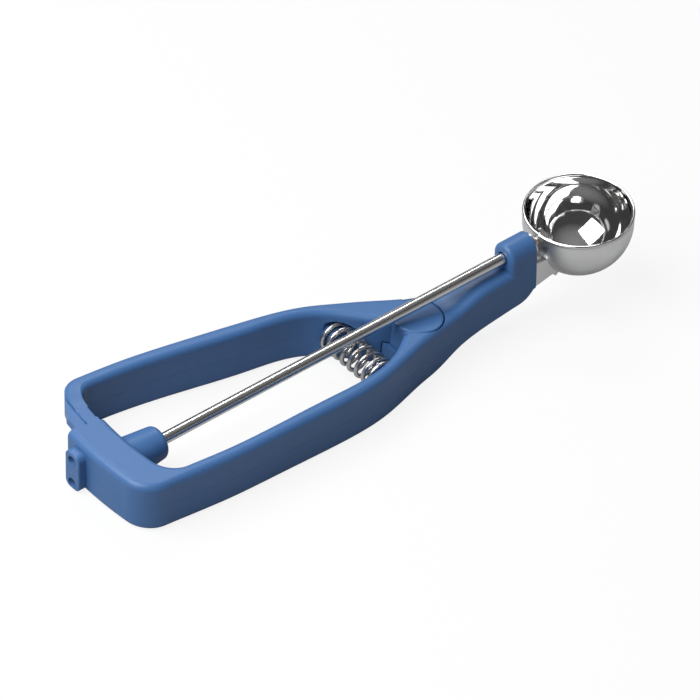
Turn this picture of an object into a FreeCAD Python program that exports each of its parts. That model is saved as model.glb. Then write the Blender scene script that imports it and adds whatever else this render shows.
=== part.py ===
# Lever ice cream scoop with a squeeze handle, a turning shaft and a scraper in the bowl.
# Millimetres. +X towards the bowl, +Y towards the moving arm, +Z up.
# The origin is on the lever's hinge axis, in the flat face that the handle rests on.
import FreeCAD, Part
import math
import os
from FreeCAD import Vector as V

os.makedirs("parts", exist_ok=True)

# Handle, driving sizes
HANDLE_H = 19.1            # height of both arms
TOP_ROUND = 2.35           # rounding of the long outer edges
LEVER_ROUND = 2.2          # the same on the moving arm
PARTING = 9.5              # height at which the two halves lap at the pivot
LAP_GAP = 0.6              # room between the halves there, filled by the slip washer
EYE_R = 9.0                # lever's round eye
EYE_GAP = 0.35             # seam round the eye
EYE_ROUND = 0.6
WEB_R = 11.0               # fixed web under the eye
SWEEP_GAP = 0.4            # room between web and lever
RUN_GAP = 0.05             # radial clearance of running fits
FIT_GAP = 0.02             # radial clearance of pressed-in pieces

# Arms: each bows inwards from the straight line along its rear end
NEAR_LINE_Y = -26.3        # outer face of the near arm behind the hand
NEAR_INNER_Y = -20.9
FAR_LINE_Y = 33.3          # outer face of the moving arm
FAR_INNER_Y = 27.6
CORNER_OUT = 10.0
CORNER_IN = 8.0
LEVER_CORNER_OUT = 9.0
LEVER_CORNER_IN = 7.5

# Rear crossbar and gear housing, measured from the hinge at mid height
INNER_R = 122.3            # inner face of the crossbar
BAR_W = 13.5               # width of the crossbar
REAR_R = INNER_R + BAR_W
MOUTH_Y = 12.0             # end of the fixed crossbar, where the lever slides in
FRONT_WALL = 1.0
REAR_WALL = 4.4
ROOF = 0.9                 # housing's skin over the lever's strip
CAVITY_R0 = INNER_R + FRONT_WALL
CAVITY_R1 = REAR_R - REAR_WALL
CAVITY_Z1 = HANDLE_H - ROOF
SLIDE_GAP = 0.4            # room round the lever's strip in the housing

# Gear
MODULE = 0.7
PINION_TEETH = 10
PINION_LEN = 5.0
TOOTH_ADD = 0.55           # stub addendum of both gears, in mm
TOOTH_DED = 0.80
BACKLASH = 0.24
RACK_LEN = 5.2
RACK_TEETH = 8
RACK_BACK = 2.0            # metal above the tooth roots
SWING = 144.0              # scraper swing in degrees
RACK_R = CAVITY_R1 - 0.3 - RACK_LEN / 2     # mid radius of the rack about the hinge
PITCH_R = MODULE * PINION_TEETH / 2
LEVER_RANGE = SWING * PITCH_R / RACK_R      # degrees of squeeze for the full swing
TRAVEL = math.radians(SWING) * PITCH_R      # the rack's own way

# Bowl and scraper
BOWL_R = 18.75             # outer radius
BOWL_WALL = 0.8
RIM_UP = 3.1               # rim above the shaft axis
BOWL_DROP = 0.7            # sphere centre below the shaft axis
RIM_BEAD = 0.55            # radius of the rolled rim
SCRAPER_GAP = 0.35
SCRAPER_T = 0.6
SCRAPER_W = 9.0
SCRAPER_REST = 18.0        # band's mid line below the rim at rest, in degrees
SCRAPER_IN = BOWL_R - BOWL_WALL - SCRAPER_GAP - SCRAPER_T

# Shaft line: it climbs from the crossbar to the bowl
SHAFT_D = 4.0
SHAFT_TILT = 7.2           # degrees to the handle's flat face
SHAFT_REAR_Z = 8.2         # shaft's height at the rack
NECK_FRONT_X = 46.1        # neck's front face, at the shaft's height
BOWL_ROOM = 3.2            # from that face to the bowl's wall
SHAFT_R = SHAFT_D / 2
TAN = math.tan(math.radians(SHAFT_TILT))
SIN = math.sin(math.radians(SHAFT_TILT))
COS = math.cos(math.radians(SHAFT_TILT))
BOWL_X = NECK_FRONT_X + BOWL_R + BOWL_ROOM  # bowl centre, on the shaft's axis
BOWL_Z = SHAFT_REAR_Z + (BOWL_X + RACK_R) * TAN

# Spring
SPRING_D = 11.6            # outer diameter
WIRE_D = 1.6
SPRING_TURNS = 8
END_PITCH = WIRE_D + 0.6   # of the end turns
SPRING_X = -22.0
SPRING_Z = 9.6
SEAT_NEAR_Y = NEAR_INNER_Y + 9.4
SEAT_FAR_Y = FAR_INNER_Y - 10.8
SEAT_ROOM = 0.35           # room round the spring in its seats
PAD_DEPTH = 3.2            # metal behind the near seat
SPIGOT_LEN = 3.5

# Neck, hump and boss
NECK_TOP_Z = BOWL_Z - (BOWL_X - NECK_FRONT_X) * TAN - 4.4   # top of the neck at its front
CHIN_Z = 13.6              # lower end of the neck's front face
CHIN_X = NECK_FRONT_X - 4.4
CHIN_LOW_Z = 9.0
UNDER_X = 13.0             # a point of the neck's underside
UNDER_Z = 3.1
NECK_W = 5.2               # half width at the front
HUMP_R = 5.1
HUMP_LEN = 10.6
HUMP_ROUND = 1.6
HUMP_REAR_X = NECK_FRONT_X - HUMP_LEN
BOSS_LEN = 15.2            # boss in front of the crossbar's inner face
BOSS_FRONT_X = BOSS_LEN - INNER_R
BOSS_R0 = 5.7              # boss radius at the front
BOSS_R1 = 7.4              # and where it leaves the crossbar
BOSS_ROUND = 2.0

# Lever's rear end: a strip and a tongue slide into the housing, beside a low ledge
LEVER_ROOT = 82.0          # where the moving arm leaves the web, degrees
LAP_START = 80.3
LAP_END = 207.0
STRIP_R0 = CAVITY_R0 + SLIDE_GAP
STRIP_R1 = RACK_R - 0.1
STRIP_Z0 = 8.9
STRIP_Z1 = CAVITY_Z1 - 0.25
STRIP_ROUND = 0.7
STRIP_END_Y = 13.5         # the full strip ends here and only its tongue goes on
TONGUE_Z0 = SHAFT_REAR_Z + PITCH_R + TOOTH_DED + RACK_BACK
TONGUE_END_Y = -4.0
CAVITY_END_Y = TONGUE_END_Y - TRAVEL - 1.7
LEVER_INNER_R = STRIP_R0 - 0.2
LEVER_REAR_R = STRIP_R1 + 0.2
LEVER_EDGE = min(LEVER_ROUND, 0.43 * (LEVER_REAR_R - LEVER_INNER_R))
UNDERCUT_Z = 8.3           # underside of the lever's rear end
UNDERCUT_X0 = 14.3 - INNER_R   # where its underside starts to rise
UNDERCUT_X1 = 3.3 - INNER_R
SLOPE_ANGLE = 11.6         # middle of the slope down to the strip, degrees from the rear
SLOPE_HALF = 5.2
LEDGE_R = CAVITY_R1 + 1.0
LEDGE_Z0 = 14.8
LEDGE_Z1 = STRIP_Z1 - 0.9
LEDGE_BEND_Y = 19.0
LEDGE_END_Y = 28.0
LEDGE_ROOM = 0.6

# Hinge screw
PIVOT_R = 3.0
HEAD_R = 5.0
HEAD_DEPTH = 2.2
HEAD_ROOM = 0.3
THREAD_R = 2.4
SPANNER_Y = 3.0            # spanner holes in the screw's head
INSERT_R = 4.0
INSERT_Z1 = HANDLE_H - 2.9

# Small pieces
SHAFT_END = REAR_R - 1.4
REAR_BUSH_R = SHAFT_R + 1.0
BOSS_BUSH_R = SHAFT_R + 1.5
BOSS_BUSH_LEN = 8.0
FRONT_BUSH_R = SHAFT_R + 1.3
FRONT_BUSH_LEN = 9.0
FRONT_WASHER_R = SHAFT_R + 2.2
SPIGOT_R = SHAFT_R - 0.5
KEY_X0 = SCRAPER_IN - 1.95
KEY_SIDE = 5.0
RIVET_R = 1.0
RIVET_HEAD_R = 1.7
RIVET_HEAD_H = 0.9
RIVET_WASHER_R = 2.1
PIN_R = 0.6
PIN_LEN = 5.0
RACK_PIN_R = RACK_R - 1.3
RACK_PIN_ANGLES = (0.0, 3.9)

# Cover on the rear face and its screws
COVER_PROUD = 2.4
COVER_SUNK = 0.8
COVER_GAP = 0.05
COVER_Y0 = 1.8
COVER_Y1 = 9.0
COVER_N0 = -6.8
COVER_N1 = 8.4
COVER_ROUND = 2.4
COVER_HOLE_R = 1.9
COVER_SCREW_N = (-4.3, 5.2)

# Bracket under the bowl
TANG_Y = 5.0
TANG_T = 1.4
TANG_N0 = -15.0
TANG_N1 = -5.2
TANG_RISE = 12.0
TONGUE_W = 3.2
TONGUE_N0 = -12.0
TONGUE_N1 = -9.0
TONGUE_LEN = 15.6          # its tongue inside the neck
TONGUE_X0 = NECK_FRONT_X - TONGUE_LEN
TANG_PIN_X = (TONGUE_X0 + 3.5, TONGUE_X0 + 11.0)
TANG_PIN_R = 1.5

# Outlines of the arms: stations along X and how far each lies inside the end line
STATIONS = [-share * INNER_R for share in (0.228, 0.418, 0.608, 0.798)]
BOW_FAR = (9.4, 4.9, 2.3, 0.3)
BOW_FAR_IN = (9.4, 5.1, 2.6, 0.4)
BOW_NEAR = (6.4, 3.0, 1.4, 0.0)
BOW_NEAR_IN = (6.5, 3.5, 1.5, 0.0)
ARM_FAR = [(-9.3, 16.0), (-19.5, 20.5)] + [(x, FAR_LINE_Y - b) for x, b in zip(STATIONS, BOW_FAR)]
GAP_FAR = [(-16.5, 9.0)] + [(x, FAR_INNER_Y - b) for x, b in zip(STATIONS, BOW_FAR_IN)]
ARM_NEAR = [(x, NEAR_LINE_Y + b) for x, b in zip(STATIONS, BOW_NEAR)][::-1]
GAP_NEAR = [(x, NEAR_INNER_Y + b) for x, b in zip(STATIONS, BOW_NEAR_IN)][::-1] + [(-16.0, -9.4)]
NECK_NEAR = [(-4.6, -12.2), (5.0, -9.6), (14.0, -7.5), (26.0, -6.1), (38.0, -5.4)]
NECK_FAR = [(5.0, 9.7), (14.0, 7.5), (26.0, 6.1), (38.0, 5.4)]
WEB_NEAR_ANGLE = 207.0
WEB_FAR_ANGLE = 80.0

U = V(COS, 0, SIN)         # along the shaft, towards the bowl
N = V(-SIN, 0, COS)        # square to the shaft, up
BOWL_C = V(BOWL_X, 0, BOWL_Z)


def shaft_z(x):
    return BOWL_Z + (x - BOWL_X) * TAN


def on_shaft(x):
    """Point of the shaft's axis at this X."""
    return V(x, 0, shaft_z(x))


def save(name, shape):
    if not shape.isValid():
        print("not valid:", name)
    shape.exportStep("parts/%s.step" % name)
    print("%-16s solids %d  volume %9.1f" % (name, len(shape.Solids), shape.Volume))


def line(a, b):
    return Part.makeLine(a, b)


def curve(points, start=None, end=None):
    """Smooth curve through XY points, with the end directions where they are given."""
    spline = Part.BSplineCurve()
    places = [V(x, y, 0) for x, y in points]
    if start and end:
        spline.interpolate(Points=places, InitialTangent=V(*start, 0), FinalTangent=V(*end, 0))
    else:
        spline.interpolate(Points=places)
    return spline.toShape()


def polar(radius, degrees, z=0.0):
    angle = math.radians(degrees)
    return V(radius * math.cos(angle), radius * math.sin(angle), z)


def arc(radius, a0, a1):
    """Arc about the hinge from angle a0 to a1, through the middle angle."""
    return Part.Arc(polar(radius, a0), polar(radius, (a0 + a1) / 2), polar(radius, a1)).toShape()


def arc_about(centre, radius, p, q, towards):
    """Arc from p to q about centre, passing on the side of the direction given."""
    middle = centre + V(*towards, 0).normalize() * radius
    return Part.Arc(p, middle, q).toShape()


def slab(edges, z0, z1, lean=0.0):
    """Prism over a closed outline in XY, leaning back with height where asked."""
    face = Part.Face(Part.Wire(edges))
    face.translate(V(-lean * (z0 - HANDLE_H / 2), 0, z0))
    return face.extrude(V(-lean * (z1 - z0), 0, z1 - z0))


def polygon(points, z0, z1):
    places = [V(x, y, 0) for x, y in points]
    places.append(places[0])
    face = Part.Face(Part.makePolygon(places))
    face.translate(V(0, 0, z0))
    return face.extrude(V(0, 0, z1 - z0))


def sector(r0, r1, a0, a1, z0, z1):
    """Part of a ring about the hinge, between two angles in degrees."""
    edges = [
        line(polar(r0, a0), polar(r1, a0)),
        arc(r1, a0, a1),
        line(polar(r1, a1), polar(r0, a1)),
        arc(r0, a1, a0),
    ]
    return slab(edges, z0, z1)


def at_y(radius, y):
    """Angle about the hinge of the rear point at this radius and Y."""
    return 180.0 - math.degrees(math.asin(y / radius))


def rod(x0, x1, radius):
    """Cylinder on the shaft's axis between two X values."""
    return Part.makeCylinder(radius, (x1 - x0) / COS, on_shaft(x0), U)


def tube(x0, x1, outer, inner):
    return rod(x0, x1, outer).cut(rod(x0, x1, inner))


def upright(x, y, z0, z1, radius):
    return Part.makeCylinder(radius, z1 - z0, V(x, y, z0))


# Outline of the fixed half

def corner(radius, line_y, round_r):
    """Rounded corner between a ring about the hinge and a line at this Y.

    Gives the corner's centre, its point on the ring and its point on the line.
    """
    reach = radius - round_r
    side = 1 if line_y > 0 else -1
    cy = line_y - side * round_r
    centre = V(-math.sqrt(reach * reach - cy * cy), cy, 0)
    return centre, centre * (radius / reach), V(centre.x, line_y, 0)


def fixed_outline():
    """Outer outline of the fixed half, with the finger gap still filled."""
    centre, on_ring, on_line = corner(REAR_R, NEAR_LINE_Y, CORNER_OUT)
    ring_angle = math.degrees(math.atan2(on_ring.y, on_ring.x)) % 360
    mouth = at_y(REAR_R, MOUTH_Y)
    front_near = V(NECK_FRONT_X + 4, -NECK_W, 0)
    front_far = V(NECK_FRONT_X + 4, NECK_W, 0)
    web_end = polar(WEB_R, WEB_FAR_ANGLE)
    near = [(on_line.x, on_line.y)] + ARM_NEAR + NECK_NEAR + [(front_near.x, front_near.y)]
    far = [(web_end.x, web_end.y)] + NECK_FAR + [(front_far.x, front_far.y)]
    return [
        curve(near, (1, 0), (1, 0)),
        line(front_near, front_far),
        curve(list(reversed(far)), (-1, 0), (-1, 0.5)),
        line(web_end, V(-20, MOUTH_Y, 0)),
        line(V(-20, MOUTH_Y, 0), polar(REAR_R, mouth)),
        arc(REAR_R, mouth, ring_angle),
        arc_about(centre, CORNER_OUT, on_ring, on_line, (-1, -1.1)),
    ]


def finger_gap():
    """The open space inside the fixed half, cut through its whole height."""
    centre, on_ring, on_line = corner(INNER_R, NEAR_INNER_Y, CORNER_IN)
    ring_angle = math.degrees(math.atan2(on_ring.y, on_ring.x)) % 360
    start = polar(WEB_R, WEB_NEAR_ANGLE)
    mouth = at_y(INNER_R, MOUTH_Y)
    web_end = polar(WEB_R, WEB_FAR_ANGLE)
    past_x = -REAR_R - 5
    past_y = FAR_LINE_Y + 7
    inside = [(on_line.x, on_line.y)] + GAP_NEAR + [(start.x, start.y)]
    edges = [
        arc(INNER_R, mouth, ring_angle),
        arc_about(centre, CORNER_IN, on_ring, on_line, (-1, -1.1)),
        curve(inside, (1, 0), (1, 0.75)),
        arc(WEB_R, WEB_NEAR_ANGLE, WEB_FAR_ANGLE),
        line(web_end, V(web_end.x, past_y, 0)),
        line(V(web_end.x, past_y, 0), V(past_x, past_y, 0)),
        line(V(past_x, past_y, 0), V(past_x, MOUTH_Y, 0)),
        line(V(past_x, MOUTH_Y, 0), polar(INNER_R, mouth)),
    ]
    return slab(edges, -1, HANDLE_H + 20)


def front_x(z):
    """X of the neck's front face, which stands square to the shaft."""
    return NECK_FRONT_X - TAN * (z - shaft_z(NECK_FRONT_X))


def side_profile():
    """Side view of the fixed half as a prism along Y: flat, then the neck that climbs."""
    top_end = V(front_x(NECK_TOP_Z), 0, NECK_TOP_Z)
    chin_end = V(front_x(CHIN_Z), 0, CHIN_Z)
    chin_start = V(CHIN_X, 0, CHIN_LOW_Z)
    back = -REAR_R - 15
    under = Part.BSplineCurve()
    under.interpolate(Points=[V(-2, 0, 0), V(UNDER_X, 0, UNDER_Z), chin_start],
                      InitialTangent=V(1, 0, 0), FinalTangent=V(1, 0, 0.2))
    top = Part.BSplineCurve()
    rise = NECK_TOP_Z - HANDLE_H
    top.interpolate(Points=[top_end, V(34, 0, HANDLE_H + 0.77 * rise), V(20, 0, HANDLE_H + 0.42 * rise),
                            V(9.0, 0, HANDLE_H)],
                    InitialTangent=V(-1, 0, -0.13), FinalTangent=V(-1, 0, 0))
    chin = Part.Arc(chin_start, V(NECK_FRONT_X - 0.3, 0, CHIN_LOW_Z + 1.8), chin_end).toShape()
    edges = [
        line(V(back, 0, 0), V(-2, 0, 0)),
        under.toShape(),
        chin,
        line(chin_end, top_end),
        top.toShape(),
        line(V(9.0, 0, HANDLE_H), V(back, 0, HANDLE_H)),
        line(V(back, 0, HANDLE_H), V(back, 0, 0)),
    ]
    face = Part.Face(Part.Wire(edges))
    face.translate(V(0, -60, 0))
    return face.extrude(V(0, 120, 0))


def level_edges(shape, z, skip):
    """Edges lying flat at this height, but for those whose middle is in the skip test."""
    found = []
    for edge in shape.Edges:
        box = edge.BoundBox
        if abs(box.ZMin - z) > 0.01 or abs(box.ZMax - z) > 0.01:
            continue
        middle = edge.valueAt((edge.FirstParameter + edge.LastParameter) / 2)
        if not skip(middle):
            found.append(edge)
    return found


def seat_cut(sign, y):
    """Room in front of a spring seat."""
    radius = SPRING_D / 2 + SEAT_ROOM
    return Part.makeCylinder(radius, 12, V(SPRING_X, y, SPRING_Z), V(0, sign, 0))


def seat_spigot(sign, y):
    """Short spigot inside the spring's end."""
    radius = SPRING_D / 2 - WIRE_D - SEAT_ROOM
    start = V(SPRING_X, y - sign * 0.5, SPRING_Z)
    return Part.makeCylinder(radius, SPIGOT_LEN + 0.5, start, V(0, sign, 0))


def near_pad():
    """Low pad behind the near seat, where the arm's face falls away from it."""
    return Part.makeCylinder(SPRING_D / 2 - 0.6, PAD_DEPTH, V(SPRING_X, SEAT_NEAR_Y, SPRING_Z), V(0, -1, 0))


def shaft_frame(shape):
    """Move a shape drawn about the bowl centre, with X along the shaft, into place."""
    turn = FreeCAD.Rotation(V(0, 1, 0), -SHAFT_TILT)
    return shape.transformed(FreeCAD.Placement(BOWL_C, turn).toMatrix(), True)


def shaft_box(x0, x1, y0, y1, n0, n1):
    """Box square to the shaft: x counts from the bowl centre and n from the shaft."""
    box = Part.makeBox(x1 - x0, y1 - y0, n1 - n0, V(x0, y0, n0))
    return shaft_frame(box)


def along(x):
    """Distance along the shaft from the bowl centre to the axis point at this X."""
    return (x - BOWL_X) / COS


REAR_S = along(-(REAR_R - TAN * (shaft_z(-REAR_R) - HANDLE_H / 2)))


def housing_cavity():
    """Room for the lever's strip, its ledge and the rack, open at the mouth, over the pinion's pocket."""
    past = MOUTH_Y + 12
    a0 = at_y(CAVITY_R1, past)
    a1 = at_y(CAVITY_R1, CAVITY_END_Y)
    room = sector(CAVITY_R0, CAVITY_R1, a0, a1, STRIP_Z0 - SLIDE_GAP, CAVITY_Z1)
    ledge_end = at_y(LEDGE_R, STRIP_END_Y - TRAVEL - 2)
    ledge_room = sector(CAVITY_R1 - 1, LEDGE_R + LEDGE_ROOM, a0, ledge_end, LEDGE_Z0 - SLIDE_GAP, CAVITY_Z1)
    half = PINION_LEN / 2 + 0.5
    pocket = rod(-RACK_R - half, -RACK_R + half, PITCH_R + TOOTH_ADD + 0.6)
    return room.fuse(ledge_room).fuse(pocket)


def mouth_wedge():
    """Cuts the end of the fixed crossbar along a plane through the hinge axis."""
    mouth = at_y(REAR_R, MOUTH_Y)
    return sector(INNER_R - 12, REAR_R + 12, mouth - 14, mouth, -5, HANDLE_H + 5)


def hump():
    """Arched housing of the front bush, rounded at its rear end."""
    x0 = along(HUMP_REAR_X)
    foot = -9.0
    arch = [
        line(V(x0, HUMP_R, foot), V(x0, HUMP_R, 0)),
        Part.Arc(V(x0, HUMP_R, 0), V(x0, 0, HUMP_R), V(x0, -HUMP_R, 0)).toShape(),
        line(V(x0, -HUMP_R, 0), V(x0, -HUMP_R, foot)),
        line(V(x0, -HUMP_R, foot), V(x0, HUMP_R, foot)),
    ]
    solid = Part.Face(Part.Wire(arch)).extrude(V(along(NECK_FRONT_X) - x0 - 0.01, 0, 0))
    rear = [e for e in solid.Edges if e.BoundBox.XMax < x0 + 0.01 and e.BoundBox.ZMax > foot + 0.01]
    return shaft_frame(solid.makeFillet(HUMP_ROUND, rear))


def handle_body():
    body = slab(fixed_outline(), -1, HANDLE_H + 20, TAN)
    body = body.common(side_profile())
    body = body.cut(finger_gap())

    def skip(p):
        reach = math.hypot(p.x, p.y)
        on_web = reach < WEB_R + 0.05 and p.x < 0
        across = p.x > -3 and abs(p.y) < 7.5
        at_mouth = INNER_R + 1 < reach < REAR_R - 2 and p.y > MOUTH_Y - 3
        return on_web or across or at_mouth

    for z in (0, HANDLE_H):
        body = body.makeFillet(TOP_ROUND, level_edges(body, z, skip))
    body = body.cut(mouth_wedge())
    body = body.fuse(hump())

    # The lever's eye and the lap over the web
    body = body.cut(upright(0, 0, PARTING, 2 * HANDLE_H, EYE_R + EYE_GAP))
    body = body.cut(sector(EYE_R - 2, WEB_R + 4, LAP_START, LAP_END, PARTING, 2 * HANDLE_H))
    body = body.cut(upright(0, 0, -1, 20, PIVOT_R + RUN_GAP))
    body = body.cut(upright(0, 0, -1, HEAD_DEPTH, HEAD_R + HEAD_ROOM))

    # Crossbar
    boss = Part.makeCone(BOSS_R1, BOSS_R0, (BOSS_LEN + 0.6) / COS, on_shaft(-INNER_R - 0.6), U)
    front_ring = [e for e in boss.Edges if e.BoundBox.XMin > BOSS_FRONT_X - 2]
    body = body.fuse(boss.makeFillet(BOSS_ROUND, front_ring))
    body = body.cut(housing_cavity())
    body = body.cut(rod(-SHAFT_END - 0.3, 0, SHAFT_R + 0.4))
    body = body.cut(rod(-REAR_R + 0.9, -CAVITY_R1 + 0.5, REAR_BUSH_R + FIT_GAP))
    body = body.cut(rod(BOSS_FRONT_X - BOSS_BUSH_LEN, BOSS_FRONT_X + 1, BOSS_BUSH_R + FIT_GAP))

    # Neck
    body = body.cut(rod(0, 60, SHAFT_R + 0.4))
    body = body.cut(rod(NECK_FRONT_X - FRONT_BUSH_LEN, 60, FRONT_BUSH_R + FIT_GAP))

    # Spring seat
    body = body.fuse(near_pad())
    body = body.cut(seat_cut(1, SEAT_NEAR_Y))
    body = body.fuse(seat_spigot(1, SEAT_NEAR_Y))

    # Cover on the rear face
    body = body.cut(cover_block(COVER_GAP).common(shaft_box(REAR_S - 9, REAR_S + 9, -30, 30, -30, 30)))
    for n in COVER_SCREW_N:
        body = body.cut(screw_hole(n, 1.05))
    return body


def cover_block(extra):
    """Small cover's block on the rear face, drawn along the shaft."""
    block = shaft_box(REAR_S - COVER_PROUD, REAR_S + COVER_SUNK,
                      COVER_Y0 - extra, COVER_Y1 + extra, COVER_N0 - extra, COVER_N1 + extra)
    corners = [e for e in block.Edges if abs(e.Length - COVER_PROUD - COVER_SUNK) < 0.01]
    return block.makeFillet(COVER_ROUND, corners)


def screw_hole(n, radius):
    middle = (COVER_Y0 + COVER_Y1) / 2
    start = BOWL_C + U * (REAR_S - COVER_PROUD - 1) + V(0, middle, 0) + N * n
    return Part.makeCylinder(radius, 8, start, U)


def gear_cover():
    cover = cover_block(0)
    rim = [e for e in cover.Edges if e.BoundBox.XMax < cover.BoundBox.XMin + 2.6
           and abs(e.valueAt(e.FirstParameter).sub(BOWL_C).dot(U) - REAR_S + COVER_PROUD) < 0.01
           and abs(e.valueAt(e.LastParameter).sub(BOWL_C).dot(U) - REAR_S + COVER_PROUD) < 0.01]
    cover = cover.makeFillet(0.5, rim)
    middle = (COVER_Y0 + COVER_Y1) / 2
    for n in COVER_SCREW_N:
        start = BOWL_C + U * (REAR_S - COVER_PROUD - 1) + V(0, middle, 0) + N * n
        cover = cover.cut(Part.makeCylinder(COVER_HOLE_R, 1 + COVER_PROUD, start, U))
        cover = cover.cut(screw_hole(n, 1.1))
    return cover


def cover_screws():
    middle = (COVER_Y0 + COVER_Y1) / 2
    screws = []
    for n in COVER_SCREW_N:
        seat = BOWL_C + U * REAR_S + V(0, middle, 0) + N * n
        head = Part.makeCylinder(COVER_HOLE_R - 0.15, 0.9, seat - U * 0.9, U)
        shank = Part.makeCylinder(1.03, 2.0, seat, U)
        groove = Part.makeCylinder(0.6, 0.5, seat - U * 0.9, U)
        screws.append(head.fuse(shank).cut(groove))
    return Part.makeCompound(screws)


def lever_outline():
    """Outline of the moving arm at full height, without its round eye."""
    shoulder = math.degrees(math.asin(MOUTH_Y / REAR_R)) + LEVER_RANGE + 0.15
    a_sh = 180.0 - shoulder
    c_out, ring_out, line_out = corner(LEVER_REAR_R, FAR_LINE_Y, LEVER_CORNER_OUT)
    c_in, ring_in, line_in = corner(LEVER_INNER_R, FAR_INNER_Y, LEVER_CORNER_IN)
    root = polar(WEB_R, LEVER_ROOT)
    outer = [(root.x, root.y)] + ARM_FAR + [(line_out.x, line_out.y)]
    inner_start = V(-7.6, 0.6, 0)
    inner = [(inner_start.x, inner_start.y)] + GAP_FAR + [(line_in.x, line_in.y)]
    out_angle = math.degrees(math.atan2(ring_out.y, ring_out.x))
    in_angle = math.degrees(math.atan2(ring_in.y, ring_in.x))
    elbow = polar(6.0, LEVER_ROOT)
    return [
        line(elbow, root),
        curve(outer, (-1, 0.42), (-1, 0)),
        arc_about(c_out, LEVER_CORNER_OUT, line_out, ring_out, (-1, 1.1)),
        arc(LEVER_REAR_R, out_angle, a_sh),
        line(polar(LEVER_REAR_R, a_sh), polar(LEVER_INNER_R, a_sh)),
        arc(LEVER_INNER_R, a_sh, in_angle),
        arc_about(c_in, LEVER_CORNER_IN, ring_in, line_in, (-1, 1.1)),
        curve(list(reversed(inner)), (1, 0), (1, -1.0)),
        line(inner_start, elbow),
    ]


def lever_arm():
    arm = slab(lever_outline(), 0, HANDLE_H)
    shoulder_y = STRIP_END_Y + 9

    def skip(p):
        reach = math.hypot(p.x, p.y)
        shoulder = STRIP_R0 + 1 < reach < LEVER_REAR_R - 1 and p.y < shoulder_y
        return reach < WEB_R + 1.5 or shoulder

    for z in (0, HANDLE_H):
        arm = arm.makeFillet(LEVER_EDGE, level_edges(arm, z, skip))
    arm = arm.common(rear_lean()).cut(undercut()).cut(top_slope())

    eye = upright(0, 0, PARTING + LAP_GAP, HANDLE_H, EYE_R)
    rim = [e for e in eye.Edges if abs(e.BoundBox.ZMin - HANDLE_H) < 0.01]
    eye = eye.makeFillet(EYE_ROUND, rim)
    arm = arm.fuse(eye)
    arm = arm.cut(upright(0, 0, -1, PARTING + 0.1, WEB_R + SWEEP_GAP))
    arm = arm.cut(upright(0, 0, -1, PARTING + LAP_GAP, WEB_R + SWEEP_GAP - 0.01))

    # Strip that slides into the crossbar, with the tongue that carries the rack
    strip = sector(STRIP_R0, STRIP_R1, at_y(STRIP_R1, shoulder_y), at_y(STRIP_R1, STRIP_END_Y),
                   STRIP_Z0, STRIP_Z1)
    long_top = [e for e in strip.Edges if e.BoundBox.ZMin > STRIP_Z1 - 0.01 and e.Length > STRIP_R1 - STRIP_R0 + 1]
    strip = strip.makeFillet(STRIP_ROUND, long_top)
    tongue = sector(STRIP_R0, STRIP_R1, at_y(STRIP_R1, STRIP_END_Y + 1), at_y(STRIP_R1, TONGUE_END_Y),
                    TONGUE_Z0, STRIP_Z1)
    arm = arm.fuse(strip).fuse(tongue)
    arm = arm.fuse(lever_ledge())
    for angle in RACK_PIN_ANGLES:
        spot = polar(RACK_PIN_R, 180.0 - angle)
        arm = arm.cut(upright(spot.x, spot.y, TONGUE_Z0 - 1, 30, PIN_R + FIT_GAP))

    # Spring seat and the blind bore for the threaded insert
    arm = arm.cut(seat_cut(-1, SEAT_FAR_Y))
    arm = arm.fuse(seat_spigot(-1, SEAT_FAR_Y))
    arm = arm.cut(upright(0, 0, 0, INSERT_Z1 + 0.1, INSERT_R + FIT_GAP))
    return arm


def rear_lean():
    """All that lies in front of the lever's rear face, which leans like the housing's."""
    centre, on_ring, on_line = corner(LEVER_REAR_R, FAR_LINE_Y, LEVER_CORNER_OUT)
    ring_angle = math.degrees(math.atan2(on_ring.y, on_ring.x))
    wide = FAR_LINE_Y + 25
    start = polar(LEVER_REAR_R, 185)
    edges = [
        arc(LEVER_REAR_R, 185, ring_angle),
        arc_about(centre, LEVER_CORNER_OUT, on_ring, on_line, (-1, 1.1)),
        line(on_line, V(on_line.x, wide, 0)),
        line(V(on_line.x, wide, 0), V(wide, wide, 0)),
        line(V(wide, wide, 0), V(wide, -wide, 0)),
        line(V(wide, -wide, 0), V(start.x, -wide, 0)),
        line(V(start.x, -wide, 0), start),
    ]
    room = slab(edges, -1, HANDLE_H + 1, TAN)
    room.translate(V(TAN * HANDLE_H / 2, 0, 0))
    return room


def undercut():
    """Takes away the lower half of the lever's rear end, behind a rising underside."""
    back = -REAR_R - 5
    points = [V(UNDERCUT_X0, 0, -1), V(UNDERCUT_X0, 0, 0), V(UNDERCUT_X1, 0, UNDERCUT_Z),
              V(back, 0, UNDERCUT_Z), V(back, 0, -1), V(UNDERCUT_X0, 0, -1)]
    return Part.Face(Part.makePolygon(points)).extrude(V(0, FAR_LINE_Y + 5, 0))


def top_slope():
    """Takes the lever's top down, in a smooth slope, to the height of its strip."""
    low = STRIP_Z1 + 0.02
    high = HANDLE_H + 0.01
    slope = Part.BSplineCurve()
    slope.interpolate(Points=[V(0, SLOPE_HALF, high), V(0, 0, (low + high) / 2), V(0, -SLOPE_HALF, low)],
                      InitialTangent=V(0, -1, 0), FinalTangent=V(0, -1, 0))
    edges = [
        slope.toShape(),
        line(V(0, -SLOPE_HALF, low), V(0, -SLOPE_HALF - 15, low)),
        line(V(0, -SLOPE_HALF - 15, low), V(0, -SLOPE_HALF - 15, high + 5)),
        line(V(0, -SLOPE_HALF - 15, high + 5), V(0, SLOPE_HALF, high + 5)),
        line(V(0, SLOPE_HALF, high + 5), V(0, SLOPE_HALF, high)),
    ]
    cutter = Part.Face(Part.Wire(edges)).extrude(V(-30, 0, 0))
    cutter.translate(V(20 - INNER_R, 0, 0))
    cutter.rotate(V(0, 0, 0), V(0, 0, 1), -SLOPE_ANGLE)
    return cutter


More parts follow.
